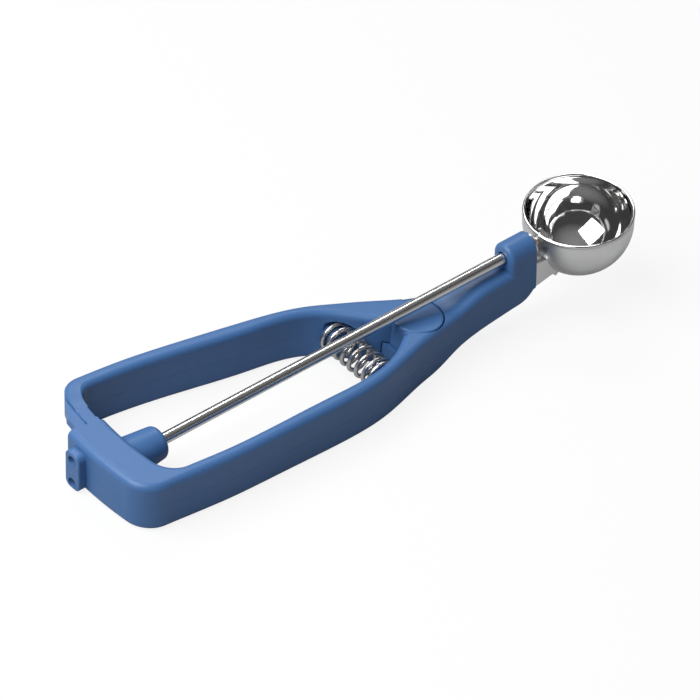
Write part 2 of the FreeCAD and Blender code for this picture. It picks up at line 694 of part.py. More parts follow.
def lever_ledge():
    """Ledge along the lever's rear face, a little lower than the strip beside it."""
    inner = LEVER_REAR_R - 1.5
    end = polar(LEDGE_R, at_y(LEDGE_R, STRIP_END_Y))
    bend = polar(LEDGE_R, at_y(LEDGE_R, LEDGE_BEND_Y))
    tip = polar(LEVER_REAR_R - 0.4, at_y(LEVER_REAR_R, LEDGE_END_Y))
    tip_in = polar(inner, at_y(inner, LEDGE_END_Y))
    end_in = polar(inner, at_y(inner, STRIP_END_Y))
    edges = [
        arc(LEDGE_R, at_y(LEDGE_R, STRIP_END_Y), at_y(LEDGE_R, LEDGE_BEND_Y)),
        line(bend, tip),
        line(tip, tip_in),
        arc(inner, at_y(inner, LEDGE_END_Y), at_y(inner, STRIP_END_Y)),
        line(end_in, end),
    ]
    return slab(edges, LEDGE_Z0, LEDGE_Z1)


def pivot_screw():
    """Hinge screw: its flush head has two spanner holes and its thread ends in the lever."""
    head = upright(0, 0, 0, HEAD_DEPTH - 0.1, HEAD_R)
    shank = upright(0, 0, HEAD_DEPTH - 0.2, PARTING, PIVOT_R)
    thread = upright(0, 0, PARTING - 0.1, INSERT_Z1 - 1.0, THREAD_R)
    screw = head.fuse(shank).fuse(thread)
    for side in (-1, 1):
        screw = screw.cut(upright(0, side * SPANNER_Y, -1, 1.2, 0.7))
    return screw


def pivot_insert():
    insert = upright(0, 0, PARTING + LAP_GAP + 0.1, INSERT_Z1, INSERT_R)
    return insert.cut(upright(0, 0, 0, INSERT_Z1 - 0.8, THREAD_R + FIT_GAP))


def pivot_washer():
    ring = upright(0, 0, PARTING + 0.02, PARTING + LAP_GAP - 0.12, EYE_R - 0.7)
    return ring.cut(upright(0, 0, 0, 20, PIVOT_R + 0.1))


# Gear pair: a pinion on the shaft under a rack that swings about the hinge

PRESSURE = math.radians(25)
TOOTH_T = math.pi * MODULE / 2 - BACKLASH / 2
PITCH_ANGLE = math.degrees(math.pi * MODULE / RACK_R)


def pinion_face():
    """Pinion outline in YZ, with one tooth pointing up."""
    base = PITCH_R * math.cos(PRESSURE)
    tip = PITCH_R + TOOTH_ADD
    root = PITCH_R - TOOTH_DED
    inv = math.tan(PRESSURE) - PRESSURE
    half = TOOTH_T / 2 / PITCH_R

    def flank(radius):
        roll = math.acos(min(1.0, base / radius))
        return half + inv - (math.tan(roll) - roll)

    def place(radius, angle):
        return V(0, radius * math.sin(angle), radius * math.cos(angle))

    step = 2 * math.pi / PINION_TEETH
    radii = [base + (tip - base) * k / 4 for k in range(5)]
    edges = []
    for k in range(PINION_TEETH):
        mid = step * k
        foot = flank(base)
        left = [place(r, mid - flank(r)) for r in radii]
        right = [place(r, mid + flank(r)) for r in reversed(radii)]
        low_left = place(root, mid - foot)
        low_right = place(root, mid + foot)
        next_left = place(root, mid + step - foot)
        edges.append(line(low_left, left[0]))
        for a, b in zip(left, left[1:]):
            edges.append(line(a, b))
        edges.append(Part.Arc(left[-1], place(tip, mid), right[0]).toShape())
        for a, b in zip(right, right[1:]):
            edges.append(line(a, b))
        edges.append(line(right[-1], low_right))
        edges.append(Part.Arc(low_right, place(root, mid + step / 2), next_left).toShape())
    return Part.Face(Part.Wire(edges))


def drive_pinion():
    gear = pinion_face().extrude(V(PINION_LEN, 0, 0))
    gear.translate(V(along(-RACK_R) - PINION_LEN / 2, 0, 0))
    gear = shaft_frame(gear)
    gear = gear.cut(rod(-RACK_R - 5, -RACK_R + 5, SHAFT_R + FIT_GAP))
    return gear.cut(pinion_pin_hole(PIN_R + FIT_GAP))


def pinion_pin_hole(radius):
    start = on_shaft(-RACK_R) - V(0, PIN_LEN / 2, 0)
    return Part.makeCylinder(radius, PIN_LEN, start, V(0, 1, 0))


def pinion_pin():
    return pinion_pin_hole(PIN_R)


def rack_tooth():
    """One rack tooth pointing down at the shaft, in line with it."""
    slope = math.tan(PRESSURE)
    pitch_n = PITCH_R
    tip_n = pitch_n - TOOTH_ADD
    top_n = pitch_n + 3.2
    half_tip = TOOTH_T / 2 - slope * TOOTH_ADD
    half_root = TOOTH_T / 2 + slope * TOOTH_DED
    root_n = pitch_n + TOOTH_DED
    points = [V(0, -half_tip, tip_n), V(0, half_tip, tip_n), V(0, half_root, root_n),
              V(0, half_root, top_n), V(0, -half_root, top_n), V(0, -half_root, root_n)]
    face = Part.Face(Part.makePolygon(points + [points[0]]))
    tooth = face.extrude(V(RACK_LEN / COS, 0, 0))
    tooth.translate(V(along(-RACK_R) - RACK_LEN / 2 / COS, 0, 0))
    return shaft_frame(tooth)


def drive_rack():
    r0 = RACK_R - RACK_LEN / 2
    r1 = RACK_R + RACK_LEN / 2
    low = shaft_z(-r0) + PITCH_R + TOOTH_DED
    first = -2
    last = first + RACK_TEETH - 1
    a0 = 180.0 - (last + 0.5) * PITCH_ANGLE - 0.42
    a1 = 180.0 - (first + 0.5) * PITCH_ANGLE + 0.45
    bar = sector(r0, r1, a0, a1, low, TONGUE_Z0 - FIT_GAP)
    tooth = rack_tooth()
    keep = sector(r0, r1, a0 - 2, a1 + 2, 0, TONGUE_Z0 - 0.5)
    for k in range(RACK_TEETH):
        piece = tooth.copy()
        piece.rotate(V(0, 0, 0), V(0, 0, 1), -(first + k + 0.5) * PITCH_ANGLE)
        bar = bar.fuse(piece.common(keep))
    for angle in RACK_PIN_ANGLES:
        spot = polar(RACK_PIN_R, 180.0 - angle)
        bar = bar.cut(upright(spot.x, spot.y, low - 0.1, 20, PIN_R + FIT_GAP))
    return bar.removeSplitter()


def rack_pins():
    pins = []
    low = shaft_z(-RACK_R + RACK_LEN / 2) + PITCH_R + TOOTH_DED
    for angle in RACK_PIN_ANGLES:
        spot = polar(RACK_PIN_R, 180.0 - angle)
        pins.append(upright(spot.x, spot.y, low + 0.4, STRIP_Z1 - 0.2, PIN_R))
    return Part.makeCompound(pins)


# Shaft and its bushes

def drive_shaft():
    long_part = rod(-SHAFT_END, 0, SHAFT_R)
    end = Part.makeCylinder(SHAFT_R, -along(0) - BOWL_R - 0.45, on_shaft(0), U)
    start = BOWL_C - U * (BOWL_R + 0.6)
    spigot = Part.makeCylinder(SPIGOT_R, BOWL_R + 0.6 - KEY_X0, start, U)
    shaft = long_part.fuse(end).fuse(spigot).removeSplitter()
    return shaft.cut(pinion_pin_hole(PIN_R + FIT_GAP))


def rear_bush():
    return tube(-REAR_R + 1.0, -CAVITY_R1 - 0.05, REAR_BUSH_R, SHAFT_R + RUN_GAP)


def boss_bush():
    return tube(BOSS_FRONT_X - BOSS_BUSH_LEN + 0.05, BOSS_FRONT_X - 0.3, BOSS_BUSH_R, SHAFT_R + RUN_GAP)


def front_bush():
    return tube(NECK_FRONT_X - FRONT_BUSH_LEN + 0.05, NECK_FRONT_X - 0.05, FRONT_BUSH_R, SHAFT_R + RUN_GAP)


def front_washer():
    return tube(NECK_FRONT_X + 0.1, NECK_FRONT_X + 1.1, FRONT_WASHER_R, SHAFT_R + RUN_GAP)


# Bowl, scraper and the bracket between bowl and neck

def cup(radius):
    """Solid half ball under a short straight skirt, up to the rim, with its seam out of the way."""
    low = Part.makeSphere(radius, V(0, 0, 0), V(0, 0, 1), -90, 0, 360)
    skirt = Part.makeCylinder(radius, RIM_UP + BOWL_DROP)
    solid = low.fuse(skirt).removeSplitter()
    solid.translate(V(0, 0, -BOWL_DROP))
    solid.rotate(V(0, 0, 0), V(0, 0, 1), 60)
    return solid


def bowl_shape():
    """Bowl in its own frame: a deep cup with a beaded rim."""
    hollow = cup(BOWL_R - BOWL_WALL)
    top = Part.makeCylinder(BOWL_R - BOWL_WALL, 3, V(0, 0, RIM_UP - 0.5))
    top.rotate(V(0, 0, 0), V(0, 0, 1), 60)
    bead = Part.makeTorus(BOWL_R - RIM_BEAD + 0.15, RIM_BEAD, V(0, 0, RIM_UP))
    bead.rotate(V(0, 0, 0), V(0, 0, 1), 60)
    return cup(BOWL_R).cut(hollow.fuse(top)).fuse(bead)


def scoop_bowl():
    bowl = shaft_frame(bowl_shape())
    bowl = bowl.cut(Part.makeCylinder(SPIGOT_R + 0.15, 8, BOWL_C - U * (BOWL_R + 4), U))
    return bowl.cut(Part.makeCylinder(RIVET_R + FIT_GAP, 8, BOWL_C + U * (BOWL_R - 4), U))


def ball(radius):
    """Sphere whose seam and poles keep clear of the shaft's line and of the band."""
    solid = Part.makeSphere(radius)
    solid.rotate(V(0, 0, 0), V(1, 0, 0), 90)
    solid.rotate(V(0, 0, 0), V(0, 1, 0), -90)
    return solid


def scraper_blade():
    """Band bent to the bowl, turning about the shaft; drawn pointing down, then turned."""
    outer = BOWL_R - BOWL_WALL - SCRAPER_GAP
    shell = ball(outer).cut(ball(outer - SCRAPER_T))
    ear = 2.6
    half = SCRAPER_W / 2
    edge = Part.BSplineCurve()
    edge.interpolate(Points=[V(-outer - 1, ear, 0), V(-outer * 0.6, half * 0.93, 0), V(0, half, 0),
                             V(outer * 0.6, half * 0.93, 0), V(outer + 1, ear, 0)],
                     InitialTangent=V(1, 0.03, 0), FinalTangent=V(1, -0.03, 0))
    low_edge = edge.toShape()
    high_edge = edge.toShape().mirror(V(0, 0, 0), V(0, 1, 0))
    ends = [line(V(-outer - 1, ear, 0), V(-outer - 1, -ear, 0)),
            line(V(outer + 1, ear, 0), V(outer + 1, -ear, 0))]
    wire = Part.Wire(Part.__sortEdges__([low_edge, high_edge] + ends))
    band = Part.Face(wire).extrude(V(0, 0, -outer - 2))
    ears = Part.makeCylinder(ear, 2 * outer + 4, V(-outer - 2, 0, 0), V(1, 0, 0))
    blade = shell.common(band.fuse(ears))
    blade = blade.cut(Part.makeCylinder(SPIGOT_R + FIT_GAP, outer + 4, V(-outer - 4, 0, 0), V(1, 0, 0)))
    blade = blade.cut(Part.makeCylinder(RIVET_R + RUN_GAP, outer + 4, V(0, 0, 0), V(1, 0, 0)))
    blade.rotate(V(0, 0, 0), V(1, 0, 0), -(90.0 - SCRAPER_REST))
    return shaft_frame(blade)


def scraper_key():
    """Square nut that locks the scraper's ear to the shaft's end."""
    x0 = -KEY_X0 - 1.4
    box = Part.makeBox(1.3, KEY_SIDE, KEY_SIDE, V(x0, -KEY_SIDE / 2, -KEY_SIDE / 2))
    box = box.makeFillet(0.5, [e for e in box.Edges if abs(e.Length - 1.3) < 0.01])
    box = box.cut(Part.makeCylinder(SPIGOT_R + FIT_GAP, 10, V(x0 - 5, 0, 0), V(1, 0, 0)))
    box.rotate(V(0, 0, 0), V(1, 0, 0), -(90.0 - SCRAPER_REST))
    return shaft_frame(box)


def scraper_rivet():
    """Rivet in the bowl's far wall: the scraper's other ear turns on its shank."""
    head_x = BOWL_R + 0.6
    inner = SCRAPER_IN - 0.25
    shank = Part.makeCylinder(RIVET_R, head_x - inner + 0.2, V(inner - 0.1, 0, 0), V(1, 0, 0))
    head = Part.makeCylinder(RIVET_HEAD_R, RIVET_HEAD_H, V(head_x, 0, 0), V(1, 0, 0))
    front = [e for e in head.Edges if abs(e.BoundBox.XMin - head_x - RIVET_HEAD_H) < 0.01]
    head = head.makeFillet(0.6 * RIVET_HEAD_H, front)
    peen = Part.makeCylinder(2 * RIVET_R, 0.7, V(inner - 0.7, 0, 0), V(1, 0, 0))
    return shaft_frame(shank.fuse(head).fuse(peen))


def rivet_washer():
    ring = Part.makeCylinder(RIVET_WASHER_R, 0.35, V(BOWL_R + 0.15, 0, 0), V(1, 0, 0))
    return shaft_frame(ring.cut(Part.makeCylinder(RIVET_R + FIT_GAP, 4, V(BOWL_R - 1, 0, 0), V(1, 0, 0))))


def bowl_tang():
    """Bracket: two cheeks on a back plate, a strap under the bowl and a tongue in the neck."""
    x0 = along(NECK_FRONT_X) + 0.1
    outer = BOWL_R + FIT_GAP
    zc = -BOWL_DROP

    def box(a, b, y, n0, n1):
        return Part.makeBox(b - a, 2 * y, n1 - n0, V(a, -y, n0))

    block = box(x0, 0, TANG_Y, TANG_N0, TANG_N1)
    hollow = box(x0 + TANG_T, 1, TANG_Y - TANG_T, TANG_N0 - 1, TANG_N1 + 1)
    cheeks = block.cut(hollow)
    under = V(math.cos(math.radians(TANG_RISE)), 0, math.sin(math.radians(TANG_RISE)))
    wedge = Part.makeBox(60, 40, 30, V(-30, -20, -30))
    wedge.rotate(V(0, 0, 0), V(0, 1, 0), -TANG_RISE)
    wedge.translate(V(x0, 0, TANG_N0))
    cheeks = cheeks.cut(wedge)
    strap_face = [V(0, 0, zc), V(-40, 0, zc - 40 * math.tan(math.radians(20))),
                  V(-40, 0, -60), V(-55, 0, -60)]
    strap_zone = Part.Face(Part.makePolygon(strap_face + [strap_face[0]])).extrude(V(0, 2 * TANG_Y, 0))
    strap_zone.translate(V(0, -TANG_Y, 0))
    shell = ball(outer + TANG_T)
    shell.translate(V(0, 0, zc))
    strap = shell.common(strap_zone)
    tongue = box(along(TONGUE_X0), x0 + 0.5, TONGUE_W, TONGUE_N0, TONGUE_N1)
    tang = cheeks.fuse(strap).fuse(tongue)
    core = ball(outer)
    core.translate(V(0, 0, zc))
    skirt = Part.makeCylinder(outer, 6, V(0, 0, zc), V(0, 0, 1))
    tang = tang.cut(core).cut(skirt)
    tang = shaft_frame(tang)
    for x in TANG_PIN_X:
        tang = tang.cut(upright(x, 0, 0, 40, TANG_PIN_R + FIT_GAP).common(
            shaft_box(along(TONGUE_X0), x0, -4, 4, TONGUE_N0 - 1, TONGUE_N1 - 0.6)))
    return tang


def tongue_slot():
    return shaft_box(along(TONGUE_X0) - 0.2, along(NECK_FRONT_X) + 3, -TONGUE_W - FIT_GAP,
                     TONGUE_W + FIT_GAP, TONGUE_N0 - FIT_GAP, TONGUE_N1 + FIT_GAP)


def neck_under(x):
    """Height of the neck's underside, between its two low points."""
    return UNDER_Z + (x - UNDER_X) * (CHIN_LOW_Z - UNDER_Z) / (CHIN_X - UNDER_X)


def tang_pins():
    pins = []
    for x in TANG_PIN_X:
        low = neck_under(x) + 0.4
        top = shaft_z(x) + (TONGUE_N1 - 0.8) / COS
        pins.append(upright(x, 0, low, top, TANG_PIN_R))
    return Part.makeCompound(pins)


# Return spring

def spring_height(t):
    """Height of the wire's centre after t turns; the end turns lie closer together."""
    half = SPRING_TURNS / 2
    if t > half:
        return SPRING_RISE - spring_height(SPRING_TURNS - t)
    extra = SPRING_PITCH - END_PITCH
    if t <= 0.5:
        return END_PITCH * t
    if t <= 1.5:
        w = t - 0.5
        return END_PITCH * t + extra * (w ** 3 - w ** 4 / 2)
    return END_PITCH * t + extra * (t - 1.0)


def spring_slope(t):
    half = SPRING_TURNS / 2
    if t > half:
        t = SPRING_TURNS - t
    extra = SPRING_PITCH - END_PITCH
    if t <= 0.5:
        return END_PITCH
    if t <= 1.5:
        w = t - 0.5
        return END_PITCH + extra * (3 * w ** 2 - 2 * w ** 3)
    return SPRING_PITCH


SPRING_RISE = SEAT_FAR_Y - SEAT_NEAR_Y - WIRE_D - 0.2
SPRING_PITCH = END_PITCH + (SPRING_RISE - SPRING_TURNS * END_PITCH) / (SPRING_TURNS - 2)


def spring_point(t):
    radius = (SPRING_D - WIRE_D) / 2
    angle = 2 * math.pi * t
    y = SEAT_NEAR_Y + 0.1 + WIRE_D / 2 + spring_height(t)
    return V(SPRING_X + radius * math.cos(angle), y, SPRING_Z + radius * math.sin(angle))


def spring_way(t):
    radius = (SPRING_D - WIRE_D) / 2
    angle = 2 * math.pi * t
    turn = 2 * math.pi * radius
    return V(-turn * math.sin(angle), spring_slope(t), turn * math.cos(angle)).normalize()


def arc_between(a, b, apex):
    """Arc from a to b whose end tangents meet at the apex."""
    middle = (a + b) * 0.5
    half = (b - a).Length / 2
    rise = (apex - middle).Length
    turn = math.atan2(rise, half)
    top = middle + (apex - middle) * (half * math.tan(turn / 2) / rise)
    return Part.Arc(a, top, b).toShape()


def biarc(p0, t0, p1, t1):
    """Two arcs from p0 to p1 with these directions at their ends."""
    chord = p1 - p0
    both = t0 + t1
    qa = 2 * (1 - t0.dot(t1))
    qb = 2 * chord.dot(both)
    qc = -chord.dot(chord)
    reach = (-qb + math.sqrt(qb * qb - 4 * qa * qc)) / (2 * qa)
    c0 = p0 + t0 * reach
    c1 = p1 - t1 * reach
    joint = (c0 + c1) * 0.5
    return [arc_between(p0, joint, c0), arc_between(joint, p1, c1)]


def return_spring():
    steps = SPRING_TURNS * 4
    edges = []
    for k in range(steps):
        t0 = k / 4
        t1 = (k + 1) / 4
        edges += biarc(spring_point(t0), spring_way(t0), spring_point(t1), spring_way(t1))
    path = Part.Wire(edges)
    ring = Part.Wire([Part.makeCircle(WIRE_D / 2, spring_point(0), spring_way(0))])
    coil = path.makePipeShell([ring], True, False)
    samples = [spring_point(k / 48) for k in range(48 * SPRING_TURNS + 1)]
    least = min((samples[i] - samples[j]).Length for i in range(len(samples))
                for j in range(i + 24, len(samples)))
    print("spring arcs %d, least gap to itself %.2f mm" % (len(edges), least - WIRE_D))
    return coil


def main():
    body = handle_body()
    body = body.cut(tongue_slot())
    for x in TANG_PIN_X:
        body = body.cut(upright(x, 0, 0, shaft_z(x) + (TONGUE_N1 - 0.6) / COS, TANG_PIN_R + FIT_GAP))
    save("handle_body", body)
    for make in (lever_arm, gear_cover, cover_screws, pivot_screw, pivot_insert, pivot_washer,
                 return_spring, drive_rack, rack_pins, drive_pinion, pinion_pin, drive_shaft,
                 rear_bush, boss_bush, front_bush, front_washer, bowl_tang, tang_pins,
                 scoop_bowl, scraper_blade, scraper_key, scraper_rivet, rivet_washer):
        save(make.__name__, make())


main()
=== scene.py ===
import math

import bmesh
import bpy
from mathutils import Matrix, Vector


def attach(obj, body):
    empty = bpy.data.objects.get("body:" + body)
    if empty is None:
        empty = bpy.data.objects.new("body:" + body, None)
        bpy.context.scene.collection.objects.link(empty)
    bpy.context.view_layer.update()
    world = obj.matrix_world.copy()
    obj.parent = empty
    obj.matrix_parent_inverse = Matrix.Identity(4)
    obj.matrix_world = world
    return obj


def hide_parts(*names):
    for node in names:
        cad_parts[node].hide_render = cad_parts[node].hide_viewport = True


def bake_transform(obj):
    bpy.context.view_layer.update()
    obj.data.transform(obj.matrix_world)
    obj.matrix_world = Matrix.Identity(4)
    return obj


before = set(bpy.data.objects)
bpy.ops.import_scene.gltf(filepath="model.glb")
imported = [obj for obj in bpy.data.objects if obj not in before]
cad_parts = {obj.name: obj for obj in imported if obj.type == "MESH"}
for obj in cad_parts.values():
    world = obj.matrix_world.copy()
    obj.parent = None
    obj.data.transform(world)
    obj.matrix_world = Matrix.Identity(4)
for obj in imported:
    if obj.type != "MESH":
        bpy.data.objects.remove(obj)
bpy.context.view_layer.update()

MM = 0.001
TILT = math.radians(7.2)
U = Vector((math.cos(TILT), 0, math.sin(TILT)))
N = Vector((-math.sin(TILT), 0, math.cos(TILT)))
BOWL = Vector((68.05, 0, 33.03)) * MM
BOWL_OUTER = 18.75
BOWL_INNER = 17.95
BOWL_DROP = 0.7             # centre of the round part, below the shaft's line
BOWL_RIM = 3.1              # rim above it
BEAD_R = 0.55
ARC_STEPS = 32              # points of each quarter circle of the bowl's section
BEAD_STEPS = 16
BUFFED_FROM = 5             # point of the bead where the mirror finish starts
ROUND_STEPS = 144           # points round the bowl
SPRING_X = -22.0
SPRING_Z = 9.6
PARTING_Z = 9.55            # height of the mould's parting line on the handle
LINE_HALF = 0.11            # and its half width


# Node trees

class Val:
    """A socket that takes part in Python arithmetic, adding Math nodes to its tree."""

    def __init__(self, tree, socket):
        self.tree = tree
        self.socket = socket

    def math(self, operation, *others, clamp=False):
        node = self.tree.add("ShaderNodeMath", dict(operation=operation, use_clamp=clamp), self, *others)
        return node.out(0)

    def __add__(self, other):
        return self.math("ADD", other)

    def __radd__(self, other):
        return self.math("ADD", other)

    def __sub__(self, other):
        return self.math("SUBTRACT", other)

    def __rsub__(self, other):
        return self.tree.value(other).math("SUBTRACT", self)

    def __mul__(self, other):
        return self.math("MULTIPLY", other)

    def __truediv__(self, other):
        return self.math("DIVIDE", other)

    def __abs__(self):
        return self.math("ABSOLUTE")

    def __pow__(self, other):
        return self.math("POWER", other)

    def above(self, edge, soft):
        """0 below the edge and 1 above it, with a soft step between."""
        return ((self - edge) / soft + 0.5).math("ADD", 0.0, clamp=True)

    def least(self, other):
        return self.math("MINIMUM", other)

    def most(self, other):
        return self.math("MAXIMUM", other)


class Made:
    """A node just added, with its outputs as values."""

    def __init__(self, tree, node):
        self.tree = tree
        self.node = node

    def out(self, which=0):
        return Val(self.tree, self.node.outputs[which])


class Tree:
    """Adds nodes to a node tree and links them as it goes."""

    def __init__(self, tree):
        self.tree = tree

    def add(self, kind, settings=None, *inputs, **named):
        node = self.tree.nodes.new(kind)
        for key, value in (settings or {}).items():
            setattr(node, key, value)
        for index, value in enumerate(inputs):
            self.feed(node.inputs[index], value)
        for key, value in named.items():
            self.feed(node.inputs[key.replace("_", " ")], value)
        return Made(self, node)

    def feed(self, socket, value):
        if isinstance(value, Made):
            value = value.out(0)
        if isinstance(value, Val):
            self.tree.links.new(value.socket, socket)
        elif value is not None:
            socket.default_value = value

    def value(self, number):
        return self.add("ShaderNodeMath", dict(operation="ADD"), number, 0.0).out(0)

    def mix(self, factor, a, b):
        node = self.tree.nodes.new("ShaderNodeMix")
        node.data_type = "RGBA"
        self.feed(node.inputs["Factor"], factor)
        self.feed(node.inputs[6], a)
        self.feed(node.inputs[7], b)
        return Val(self, node.outputs[2])


class Finish(Tree):
    """One material: a Principled shader on Object coordinates."""

    def __init__(self, name, **sockets):
        self.material = bpy.data.materials.new(name)
        self.material.use_nodes = True
        super().__init__(self.material.node_tree)
        self.shader = self.material.node_tree.nodes["Principled BSDF"]
        for key, value in sockets.items():
            self.feed(self.shader.inputs[key.replace("_", " ")], value)
        self.place = self.add("ShaderNodeTexCoord").out("Object")

    def set(self, **sockets):
        for key, value in sockets.items():
            self.feed(self.shader.inputs[key.replace("_", " ")], value)
        return self

    def moved(self, turn, scale):
        return self.add("ShaderNodeMapping", None, self.place, Rotation=turn, Scale=scale).out(0)

    def noise(self, scale, detail, rough=0.5, place=None):
        return self.add("ShaderNodeTexNoise", None, Vector=place or self.place, Scale=scale,
                        Detail=detail, Roughness=rough).out(0)

    def height(self):
        return self.add("ShaderNodeSeparateXYZ", None, self.place).out(2)

    def bump(self, height, distance, strength):
        node = self.add("ShaderNodeBump", None, Height=height, Distance=distance, Strength=strength)
        self.feed(self.shader.inputs["Normal"], node)
        return self


def moulded_blue():
    """Satin blue plastic with the mould's fine grain and its parting line half way up the arms."""
    f = Finish("moulded_blue", Roughness=0.42, Specular_IOR_Level=0.42)
    cloud = f.noise(22.0, 3.0)
    grain = f.noise(2600.0, 1.0)
    scuffs = f.noise(140.0, 4.0, 0.7)
    line = 1.0 - (abs(f.height() - PARTING_Z * MM) / (LINE_HALF * MM)).least(1.0)
    colour = f.mix(cloud, (0.038, 0.109, 0.265, 1), (0.045, 0.123, 0.294, 1))
    f.set(Base_Color=f.mix(line * 0.25, colour, (0.028, 0.070, 0.18, 1)),
          Roughness=0.36 + scuffs * 0.12 + grain * 0.04)
    return f.bump(grain * 0.5 + cloud * 0.6 + line * 2.2, 0.00006, 0.6).material


def bright_steel(name="bright_steel", rough=0.20, tone=0.72, grain=0.05):
    """Polished stainless steel with faint drawing lines along the shaft."""
    f = Finish(name, Metallic=1.0)
    drawn = f.noise(1.0, 3.0, 0.6, f.moved((0, TILT, 0), (60, 5200, 5200)))
    smear = f.noise(55.0, 3.0, 0.6)
    dull = (tone * 0.93, tone * 0.915, tone * 0.89, 1)
    light = (tone, tone * 0.985, tone * 0.96, 1)
    f.set(Base_Color=f.mix(drawn, dull, light), Roughness=rough + drawn * grain + smear * 0.05)
    return f.bump(drawn, 0.000004, 0.6).material


def satin_steel():
    """Outside of the bowl: stainless steel with a fine even satin."""
    f = Finish("satin_steel", Metallic=1.0)
    around = f.noise(1.0, 3.0, 0.6, f.moved((0, 0, 0), (700, 700, 9000)))
    smear = f.noise(60.0, 3.0, 0.6)
    f.set(Base_Color=f.mix(around, (0.70, 0.70, 0.70, 1), (0.78, 0.78, 0.775, 1)),
          Roughness=0.24 + around * 0.10 + smear * 0.06)
    return f.bump(around, 0.000006, 0.6).material


def mirror_steel():
    """Inside of the bowl and the scraper: buffed bright, with the faint ripple of pressed sheet."""
    f = Finish("mirror_steel", Metallic=1.0)
    ripple = f.noise(95.0, 2.0, 0.5)
    fine = f.noise(1800.0, 2.0)
    f.set(Base_Color=f.mix(fine, (0.76, 0.76, 0.76, 1), (0.82, 0.82, 0.82, 1)),
          Roughness=0.045 + fine * 0.04)
    return f.bump(ripple, 0.00003, 0.5).material


def machined(name, dark, light, rough):
    """Turned or cut metal inside the handle, with fine tool marks."""
    f = Finish(name, Metallic=1.0)
    marks = f.noise(1.0, 3.0, 0.6, f.moved((0, TILT, 0), (9000, 400, 400)))
    f.set(Base_Color=f.mix(marks, dark, light), Roughness=rough + marks * 0.15)
    return f.bump(marks, 0.000008, 0.6).material


def nylon():
    """Slip washer: slightly waxy white plastic."""
    f = Finish("nylon", Roughness=0.5)
    cloud = f.noise(300.0, 3.0)
    f.set(Base_Color=f.mix(cloud, (0.72, 0.72, 0.68, 1), (0.82, 0.82, 0.79, 1)),
          Roughness=0.4 + cloud * 0.2)
    return f.bump(cloud, 0.00002, 0.5).material


BLUE = moulded_blue()
BRIGHT = bright_steel()
SATIN = satin_steel()
MIRROR = mirror_steel()
WIRE = bright_steel("spring_wire", 0.20, 0.60, 0.10)
STEEL = machined("cut_steel", (0.42, 0.42, 0.43, 1), (0.56, 0.56, 0.57, 1), 0.30)
BRASS = machined("turned_brass", (0.56, 0.40, 0.17, 1), (0.70, 0.52, 0.24, 1), 0.25)
NYLON = nylon()


def finish_node(name, material):
    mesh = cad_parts[name].data
    mesh.materials.clear()
    mesh.materials.append(material)


for node in ("handle_body", "lever_arm", "gear_cover"):
    finish_node(node, BLUE)
for node in ("drive_shaft", "scraper_key", "scraper_rivet", "rivet_washer", "front_washer",
             "cover_screws", "pivot_screw", "tang_pins"):
    finish_node(node, BRIGHT)
for node in ("scoop_bowl", "bowl_tang"):
    finish_node(node, SATIN)
for node in ("drive_rack", "rack_pins", "drive_pinion", "pinion_pin"):
    finish_node(node, STEEL)
for node in ("pivot_insert", "rear_bush", "boss_bush", "front_bush"):
    finish_node(node, BRASS)
finish_node("pivot_washer", NYLON)
finish_node("return_spring", WIRE)
finish_node("scraper_blade", MIRROR)


# Pieces

def new_object(name, mesh):
    thing = bpy.data.objects.new(name, mesh)
    bpy.context.scene.collection.objects.link(thing)
    return thing


def from_bmesh(name, bm, materials, smooth=True):
    mesh = bpy.data.meshes.new(name)
    bm.to_mesh(mesh)
    bm.free()
    for material in materials:
        mesh.materials.append(material)
    for face in mesh.polygons:
        face.use_smooth = smooth
    return new_object(name, mesh)


def bowl_place(x, y, n):
    """Point given along the shaft, across it and square to it, from the bowl's centre, in mm."""
    return BOWL + (U * x + Vector((0, 1, 0)) * y + N * n) * MM


